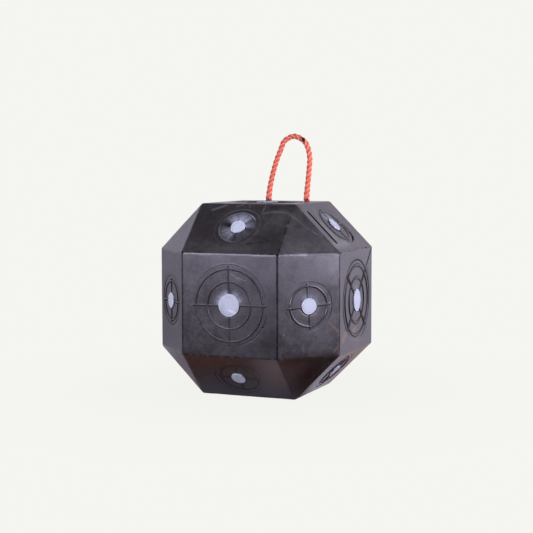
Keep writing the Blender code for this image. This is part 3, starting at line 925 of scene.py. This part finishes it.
# Single strokes seen in the photograph, in millimetres: from, to, half width
strokes = {
    "rust": ((174.5, -114.5, 158.9, 189.2, -99.4, 139.1, 1.5),
        (181.4, -107.2, 102.5, 190.3, -98.3, 114.7, 1.6), (190, -20, 130.5, 190, -5, 136, 4.6),
        (190, -80, 121.5, 190, -52, 138, 6), (-93.6, -128.2, 31.5, -97.5, -113.5, 16.8, 2),
        (-72.7, -104.6, 7.9, -67, -101.5, 4.8, 1.6)),
    "cut": ((171.2, -71, 309.5, 116.4, -71, 364.3, 5.2), (190, 96.3, 290, 190, 62, 256, 2),
        (-18, -141.2, 339.5, -20.4, -140.1, 340.5, 1.2), (159.5, 47.5, 321.2, 165.5, 45.5, 315.2, 2.6),
        (165.5, 45.5, 315.2, 171.6, 33.9, 309.1, 2.4), (171.6, 33.9, 309.1, 175.4, 14.8, 305.3, 1),
        (145, 44, 335.7, 160.9, 34, 319.8, 1.6), (69.3, -190, 153.4, 69, -190, 153, 1.6),
        (-98.7, -189, 291.5, -98, -189, 290, 2.2), (98.5, -189, 290.5, 98.5, -189, 288.5, 1.7),
        (189, -92.5, 290.5, 189, -90, 290, 1.4), (189, -45.8, 291, 189, -43, 290, 1.3),
        (190, -29, 289, 190, -28, 288, 1.2), (189, -7.7, 291.5, 189, -5, 291, 1.2),
        (188, 12, 292.5, 188, 13, 292.5, 1.3), (189, 34.2, 291, 189, 40.4, 290.8, 1.2),
        (189, 56, 290.6, 189, 64, 290.4, 1.1), (189, 76, 290.6, 189, 80, 290.4, 1)),
    "vein": ((4.5, -99.2, 381.5, 9.2, -112.1, 368.6, 0.9),
        (39.3, -100.7, 380, 37.8, -117.3, 363.4, 1.1), (37.8, -117.3, 363.4, 60.9, -113.3, 367.4, 1.7),
        (60.9, -113.3, 367.4, 85.8, -114.1, 366.6, 2.8), (85.8, -114.1, 366.6, 104, -120, 360, 2.6),
        (104, -118, 360, 112, -116, 354, 1.8)),
    "scratch": ((4.9, -190, 252, 14.2, -190, 246.4, 0.6), (14.2, -190, 246.4, 26.7, -190, 244.8, 0.6),
        (17.4, -190, 244.5, 35.7, -190, 239.8, 0.6), (12.9, -190, 244.3, 24.4, -190, 239.4, 0.5),
        (-90.2, -190, 212.5, -90, -190, 212.2, 1), (-87.7, -190, 203.9, -87.5, -190, 204, 0.8),
        (107.7, -181, 140.3, 107.8, -180.9, 140.2, 1.2)),
    # lighter patches standing in for light that falls there: painted light
    "paintedLight": ((30, -150, 332, 90, -125, 355, 30), (-90, -180, 300, 90, -180, 300, 12),
        (115, -175, 305, 175, -115, 305, 18), (183, -105.7, 170, 183, -105.7, 260, 11),
        (-54, -190, 235, -60, -190, 135, 30), (118, -85, 362.7, 178, -85, 302.7, 15),
        (178, -50, 302.7, 178, 70, 302.7, 15)),
    # darker, duller patches, mostly painted shade that dims reflections
    "darkPatch": ((99, -102, 379, 108, -118, 354, 20), (145, -143.7, 290.5, 189.5, -99.2, 290.5, 4),
        (-20.5, -140, 340.6, -28.5, -136.8, 343.8, 3.8), (-3.1, -168, 312.7, -1, -159, 321.7, 1.1),
        (30, -171.9, 308.8, 44, -171, 309.7, 2.6), (50, -169, 311.7, 60, -168.4, 312.3, 1.8),
        (56, -106, 374.7, 88, -106, 374.7, 6)),
    # dark brown: painted shade with a painted brown reflection on the lower faces; the thin one along
    # the top-front edge is a dark line
    "darkBrown": ((116, -118, 36, 156, -130, 76, 22), (98.7, -120, 360, 98.7, -183, 297.7, 0.9),
        (184, -93, 87.3, 112, -93, 15.3, 8), (115, -173.7, 94, 175, -113.7, 94, 11),
        (-105, -105, 14.6, -115, -115, 34.6, 7)),
    # pale smears; the two wide ones on the top-right face are painted light
    "smear": ((-69.3, -111, 369.7, -43.2, -102, 378.7, 2.4), (-20.2, -104, 376.7, -8, -101, 379.7, 1.6),
        (140, -56, 340.7, 174, -56, 306.7, 10), (176, -88, 304.7, 176, -20, 304.7, 8),
        (96.9, -120.4, 362.1, 130.7, -113, 335.7, 0.8),
        (130.7, -113, 335.7, 155.5, -103.4, 320.5, 0.3)),
}


def nearStrokes(place, wander, lines, soft):
    # highest of the strokes' masks: 1 where the distance from the centre line plus the
    # wander is under half width times 1 - soft, and 0 where it is over 1 + soft
    tree, best = place.tree, None
    for stroke in lines:
        *ends, wide = (part / 1000 for part in stroke)
        run = Vector(ends[3:]) - Vector(ends[:3])
        away = vectorMath(tree, "SUBTRACT", n0=place, n1=ends[:3])
        share = vectorMath(tree, "DOT_PRODUCT", 1, n0=away, n1=run / run.length_squared)
        nearest = vectorMath(tree, "SCALE", n0=run, Scale=addNode(tree, "Clamp", n0=share))
        gap = vectorMath(tree, "DISTANCE", 1, n0=away, n1=nearest) + wander
        mask = fromTo(gap, wide * (1 + soft), wide * (1 - soft))
        best = mask if best is None else best | mask
    return best


def makeFoam():
    # mottled near-black with pits, dust specks, rubbed edges, overspray and strokes; painted
    # shade in the grooves, seams, cuts, pits and at and on the ribs, painted highlights on the
    # line's rim and the ring's crest, and strokes of painted light and shade; the shine falls in
    # crevices, under overspray, darker duller and dark brown strokes and along edges
    made, tree, shader = startMaterial("blackFoam")
    place = addNode(tree, "TexCoord", "Object")
    marks, paintedHighlight = attribute(tree, "marks", ("Color", "Alpha"))
    paintedShade, sprayed, edge = channels(marks)
    noises = {name: noise(place, *shape) for name, shape in foam["noises"].items()}
    cloud, mottle, steps = noises["cloud"], noises["mottle"], foam["steps"]
    tone = cloud * foam["cloud"] + mottle * foam["mottle"]
    colour = blend(fromTo(tone, *steps["tone"]), foam["dark"], foam["light"])
    colour = blend(fromTo(noises["brown"], *steps["brown"]), colour, foam["brown"])

    # pits, pale dust specks, rubbed edges with the painted highlight on the line's rim, and
    # overspray with the painted highlight on the ring's crest
    pits, _ = cells(place, foam["pitScale"])
    pit = fromTo(pits, *steps["pit"]) * fromTo(noises["sparse"], *steps["sparse"])
    specks, tints = cells(place, foam["speckScale"])
    speck = fromTo(specks, *steps["speck"]) * fromTo(channels(tints)[0], *steps["chance"])
    colour = blend(speck * foam["speck"], colour, foam["dustAndPaintedLight"])
    rubbed = edge * fromTo(mottle, *steps["rubbed"]) * foam["rubbed"]
    colour = blend(rubbed | paintedHighlight * foam["paintedHighlight"], colour, foam["rubAndHighlight"])
    spray = sprayed * fromTo(noises["ragged"], *steps["ragged"])
    colour = blend(spray, colour, foam["spray"])

    # strokes that the photograph shows
    wander = (mottle - 0.5) * foam["wander"]
    patchy = {"paintedLight": fromTo(tone, *steps["paintedLight"]), "rust": fromTo(mottle, *steps["rust"])}
    near = {}
    for kind, (drift, soft, strength, tint) in strokeKinds.items():
        near[kind] = nearStrokes(place, wander * drift, strokes[kind], soft)
        if tint:
            colour = blend(near[kind] * patchy.get(kind, strength), colour, foam[tint])
    # painted shade: the marks' dark channel, cuts and pits take the near-black crevice colour, less
    # shine and a lower IOR that takes their reflection away
    crevice = paintedShade | near["cut"] | pit * foam["pit"]
    colour = blend(crevice, colour, foam["crevice"])

    patches = cloud * foam["patch"] + noises["patch"] * foam["patch"]
    shine = fromTo(crevice | spray, *steps["shine"]) * fromTo(patches, *steps["patch"])
    for mask, least in ((near["darkPatch"], foam["dullShine"]),
                        (near["darkBrown"] * strokeKinds["darkBrown"][2], foam["darkBrownShine"]),
                        (edge, foam["edgeShine"])):
        shine = shine * fromTo(mask, 0.0, 1.0, (1.0, least))
    setInputs(shader, Base_Color=colour, Specular_IOR_Level=shine, Specular_Tint=foam["tint"],
              Roughness=fromTo(tone, *steps["rough"]) + spray * foam["sprayRough"],
              IOR=fromTo(crevice, *steps["shadeIor"]))
    fine = noises["grain"] * foam["grainBump"] - (pit | near["cut"]) * foam["pitBump"]
    addBump(shader, fine + mottle * foam["mottleBump"], *foam["bump"])
    return made


coat = {
    "clean": (0.49, 0.508, 0.66, 1), "thin": (0.40, 0.415, 0.54, 1),
    "chalk": (0.62, 0.64, 0.77, 1), "hole": (0.20, 0.20, 0.26, 1),
    "cloud": (70.0, 4.0, 0.6), "fine": (480.0, 3.0, 0.6), "holeScale": 420.0,
    "cleanStep": (0.30, 0.56), "chalkStep": (0.60, 0.72), "fineStep": (0.4, 0.6),
    "holeStep": (0.28, 0.12), "chanceStep": (0.90, 0.92, (0.0, 0.6)),
    # the front bullseye's rubbed streak and its duller lower left, in millimetres
    "streak": ((1, -192, 183.5, 13.5, -192, 178.5, 1.6),),
    "darkPatch": ((-12, -192, 180, -1, -192, 174, 5),),
    "wander": 0.008, "soft": 0.5, "dullShare": 0.6, "rough": 0.62, "cloudBump": 1.5,
    "bump": (0.3, 0.0004),
}


def makeCoat():
    # cloudy white, thin in places, with chalky rubs and small holes, times the face's painted light and
    # shade
    made, tree, shader = startMaterial("whiteCoat")
    place = addNode(tree, "TexCoord", "Object")
    cloud, fine = noise(place, *coat["cloud"]), noise(place, *coat["fine"])
    wander = (cloud - 0.5) * coat["wander"]
    colour = blend(fromTo(cloud, *coat["cleanStep"]), coat["thin"], coat["clean"])
    darkPatch = nearStrokes(place, wander, coat["darkPatch"], coat["soft"])
    colour = blend(darkPatch * coat["dullShare"], colour, coat["thin"])
    chalk = fromTo(cloud, *coat["chalkStep"]) * fromTo(fine, *coat["fineStep"])
    chalk = chalk | nearStrokes(place, wander, coat["streak"], coat["soft"])
    colour = blend(chalk, colour, coat["chalk"])
    holes, tints = cells(place, coat["holeScale"])
    hole = fromTo(holes, *coat["holeStep"]) * fromTo(channels(tints)[0], *coat["chanceStep"])
    colour = blend(hole, colour, coat["hole"])
    colour = blend(1.0, colour, attribute(tree, "coatPaintedLight"), "MULTIPLY")
    setInputs(shader, Base_Color=colour, Roughness=coat["rough"])
    addBump(shader, fine + cloud * coat["cloudBump"], *coat["bump"])
    return made


yarn = {
    # the deep colour is painted shade between the strands, and the pale colour a painted highlight
    # along each
    "deep": (0.50, 0.072, 0.042, 1), "mid": (0.71, 0.112, 0.062, 1),
    "paintedHighlight": (0.80, 0.40, 0.36, 1), "ink": (0.010, 0.009, 0.011, 1),
    "drawn": (1.0, 0.08, 1.0), "fibre": (2600.0, 2.0, 0.55), "bundle": (900.0, 1.0, 0.5),
    "valleyShadeStep": (0.0, 0.22), "leftStep": (0.18, 0.40), "rightStep": (0.72, 0.48),
    "fibreStep": (0.35, 0.75, (0.82, 1.0)), "shineStep": (0.0, 1.0, (0.28, 0.08)),
    "paintedHighlightShare": 0.60, "rough": 0.6, "bump": (0.15, 0.0004),
}


def makeYarn():
    # painted shade: deep orange between the strands, orange on them; and a painted highlight: a pale
    # band of fibres along each, a step up times a step down across the strand
    made, tree, shader = startMaterial("orangeRope")
    crown, side, ink = channels(attribute(tree, "ropeMarks"))
    drawn = addNode(tree, "Mapping", Vector=attribute(tree, "ropeSpace", "Vector"),
                    Scale=yarn["drawn"])
    fibre, bundle = noise(drawn, *yarn["fibre"]), noise(drawn, *yarn["bundle"])
    colour = blend(fromTo(crown, *yarn["valleyShadeStep"]), yarn["deep"], yarn["mid"])
    paintedSheen = fromTo(side, *yarn["leftStep"]) * fromTo(side, *yarn["rightStep"])
    paintedGlint = fromTo(fibre, *yarn["fibreStep"]) * paintedSheen
    colour = blend(paintedGlint * yarn["paintedHighlightShare"], colour, yarn["paintedHighlight"])
    setInputs(shader, Base_Color=blend(ink, colour, yarn["ink"]), Roughness=yarn["rough"],
              Specular_IOR_Level=fromTo(ink, *yarn["shineStep"]))
    addBump(shader, fibre + bundle, *yarn["bump"])
    return made


core = {"dark": (0.30, 0.15, 0.07, 1), "light": (0.52, 0.30, 0.15, 1), "cells": 700.0,
        "cloud": (40.0, 3.0, 0.5), "rough": 0.9, "bump": (0.6, 0.0006)}


def makeCore():
    # brown foam, clouded between its two colours, with the relief of its cells
    made, tree, shader = startMaterial("coreFoam")
    place = addNode(tree, "TexCoord", "Object")
    colour = blend(noise(place, *core["cloud"]), core["dark"], core["light"])
    setInputs(shader, Base_Color=colour, Roughness=core["rough"])
    addBump(shader, cells(place, core["cells"])[0], *core["bump"])
    return made


# Studio

studio = {
    "paper": (0.913, 0.913, 0.880, 1), "white": (1, 1, 1, 1), "fill": 0.34,
    "wall": (0.89, 0.835, 0.98, 1), "leftFloor": (0.42, 0.40, 0.485, 1),
    # the wall's brightness, as smooth steps up, to the left and to the front
    "ceiling": (0.20, 0.80, (1.0, 0.22)), "leftWall": (-0.8, -0.3, (1.1, 1.0)),
    "frontWall": (-0.6, 0.0, (0.35, 1.0)), "leftFloorStep": (-0.4, -0.8),
    "floorColour": (0.28, 0.27, 0.26, 1), "floorRough": 0.9, "floorHalf": 30,
    "glowStep": (0.15, 0.7, (0.96, 1.0)), "shade": (0.16, 0.145, 0.18, 1),
    "shadeMiddle": (0.10, -1.58), "shadeReach": (2.2, 1.45), "shadeEnds": (0.98, 1.12),
    # patches painted on the floor that only reflections see, painted reflections and shade for the
    # lower faces: middle x, y, reach x, y, red, green, blue
    "mirroredPatches": ((-0.24, -0.03, 0.15, 0.13, 0.46, 0.40, 0.49),
             (-0.03, -0.095, 0.13, 0.035, 0.27, 0.25, 0.30),
             (-0.10, -0.21, 0.16, 0.07, 0.38, 0.14, 0.08),
             (-0.13, -0.13, 0.03, 0.03, 0.24, 0.14, 0.13),
             (0.06, -0.19, 0.05, 0.07, 0.70, 0.51, 0.50),
             (0.16, -0.165, 0.06, 0.05, 0.36, 0.15, 0.10),
             (0.18, -0.080, 0.09, 0.05, 0.06, 0.00, 0.00),
             (0.11, 0.24, 0.14, 0.16, 0.78, 0.58, 0.59),
             (1.30, -0.60, 0.60, 0.40, 0.05, 0.045, 0.06),
             (-3.60, 1.50, 2.00, 2.00, 0.69, 0.655, 0.80)),
    "mirroredPatchEnds": (0.4, 1.4),
    # name, place, aim, wide, high, watts, colour
    "lamps": (
        ("leftBox", (-0.40, -1.05, 0.52), (-0.05, -0.19, 0.25), 0.7, 0.44, 8.3,
         (0.97, 0.97, 1.06)),
        ("rightBox", (1.04, -0.20, 0.505), (0.14, -0.12, 0.25), 0.56, 0.45, 12.4,
         (0.97, 0.97, 1.06)),
        ("rearBox", (0.95, 2.1, 0.3), (0.15, 0, 0.2), 1.4, 1.0, 0.8, (0.92, 0.86, 1.10)),
        ("overBox", (1.30, -0.22, 1.75), (0.1, -0.1, 0.3), 0.8, 0.8, 1.3, (0.98, 0.94, 1.02)),
    ),
}


def raysOf(tree):
    # 1 for rays from the camera, and 1 for rays that were mirrored or went through
    direct, glossy, through = addNode(
        tree, "LightPath", ("Is Camera Ray", "Is Glossy Ray", "Is Transmission Ray"))
    return direct, glossy | through


def makeWorld():
    # paper white for the camera, an even fill for diffuse light and, in reflections, the
    # wall's colour times its three steps
    world = bpy.data.worlds.new("studioWorld")
    bpy.context.scene.world = world
    world.use_nodes = True
    tree = world.node_tree
    tree.nodes.clear()
    direct, mirrored = raysOf(tree)
    way = addNode(tree, "TexCoord", "Generated")
    x, y, z = addNode(tree, "SeparateXYZ", (0, 1, 2), n0=way)
    wall = fromTo(z, *studio["ceiling"]) * fromTo(x, *studio["leftWall"])
    wall = wall * fromTo(y, *studio["frontWall"]) * (1.0 - direct) + direct
    tone = blend(direct, studio["wall"], studio["paper"])
    paper = addNode(tree, "Background", Color=tone, Strength=wall)
    dim = addNode(tree, "Background", Color=studio["white"], Strength=studio["fill"])
    both = addNode(tree, "MixShader", n0=direct | mirrored, n1=dim, n2=paper)
    setInputs(tree.nodes.new("ShaderNodeOutputWorld"), n0=both)


def nearPatch(place, middle, reach, full, none):
    # 1 inside a soft oval, 0 outside: distance from its middle in shares of its reach
    drawn = addNode(place.tree, "Mapping", 0, {"vector_type": "TEXTURE"}, Vector=place,
                    Location=(*middle, 0.0), Scale=(*reach, 1.0))
    return fromTo(vectorMath(place.tree, "LENGTH", 1, n0=drawn), none, full)


def makeFloor():
    # flat sheet whose paper colour holds for the camera, with the object's soft shadow;
    # reflections see the wall's colour with the painted shade and painted reflection patches on it
    corners = np.array(((-1, -1, 0), (1, -1, 0), (1, 1, 0), (-1, 1, 0)), float)
    floor = makePiece("floor", corners * studio["floorHalf"], np.array([[0, 1, 2, 3]]),
                      smooth=False)
    made, tree, shader = startMaterial("floorPaper")
    setInputs(shader, Base_Color=studio["floorColour"], Roughness=studio["floorRough"])
    direct, mirrored = raysOf(tree)
    place = addNode(tree, "TexCoord", "Object")
    share = direct * fromTo(vectorMath(tree, "LENGTH", 1, n0=place), *studio["glowStep"])
    glow = addNode(tree, "Emission", Color=studio["paper"], Strength=1.0)
    both = addNode(tree, "MixShader", n0=share, n1=Value(shader.outputs[0]), n2=glow)
    x = addNode(tree, "SeparateXYZ", n0=place)
    tone = blend(fromTo(x, *studio["leftFloorStep"]), studio["wall"], studio["leftFloor"])
    near = nearPatch(place, studio["shadeMiddle"], studio["shadeReach"], *studio["shadeEnds"])
    tone = blend(near, tone, studio["shade"])
    for x, y, wide, deep, *colour in studio["mirroredPatches"]:
        near = nearPatch(place, (x, y), (wide, deep), *studio["mirroredPatchEnds"])
        tone = blend(near, tone, (*colour, 1))
    mirror = addNode(tree, "Emission", Color=tone, Strength=1.0)
    both = addNode(tree, "MixShader", n0=mirrored, n1=both, n2=mirror)
    setInputs(tree.nodes["Material Output"], Surface=both)
    floor.data.materials.append(made)


def makeLamps():
    # each lamp's -Z points from its place to its aim
    for name, place, aim, wide, high, watts, colour in studio["lamps"]:
        data = bpy.data.lights.new(name, "AREA")
        data.shape = "RECTANGLE"
        data.size, data.size_y, data.energy, data.color = wide, high, watts, colour
        lamp = bpy.data.objects.new(name, data)
        lamp.location = place
        lamp.rotation_euler = (Vector(aim) - Vector(place)).to_track_quat("-Z", "Y").to_euler()
        bpy.context.scene.collection.objects.link(lamp)


# Putting it together

ropeLoop = makeRope()
legs = [makeLeg(side, x) for side, x in zip(("left", "right"), rope["feet"])]
dabs = [makeDab(side, x) for side, x in zip(("left", "right"), rope["feet"])]
skin = makeSkin()
discs = [makeBullseye(name, face, bullseye["seed"] + place)
         for place, (name, face) in enumerate(markedFaces.items())]
print("bullseyes:", len(discs))

for pieces, finish in (([skin] + dabs, makeFoam()), (discs, makeCoat()),
                       ([ropeLoop] + legs, makeYarn())):
    for piece in pieces:
        piece.data.materials.append(finish)
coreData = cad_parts["foam_core"].data
coreData.materials.clear()
coreData.materials.append(makeCore())
print("materials done")

makeWorld()
makeFloor()
makeLamps()
bpy.context.scene.view_settings.view_transform = "Standard"
print("studio done")
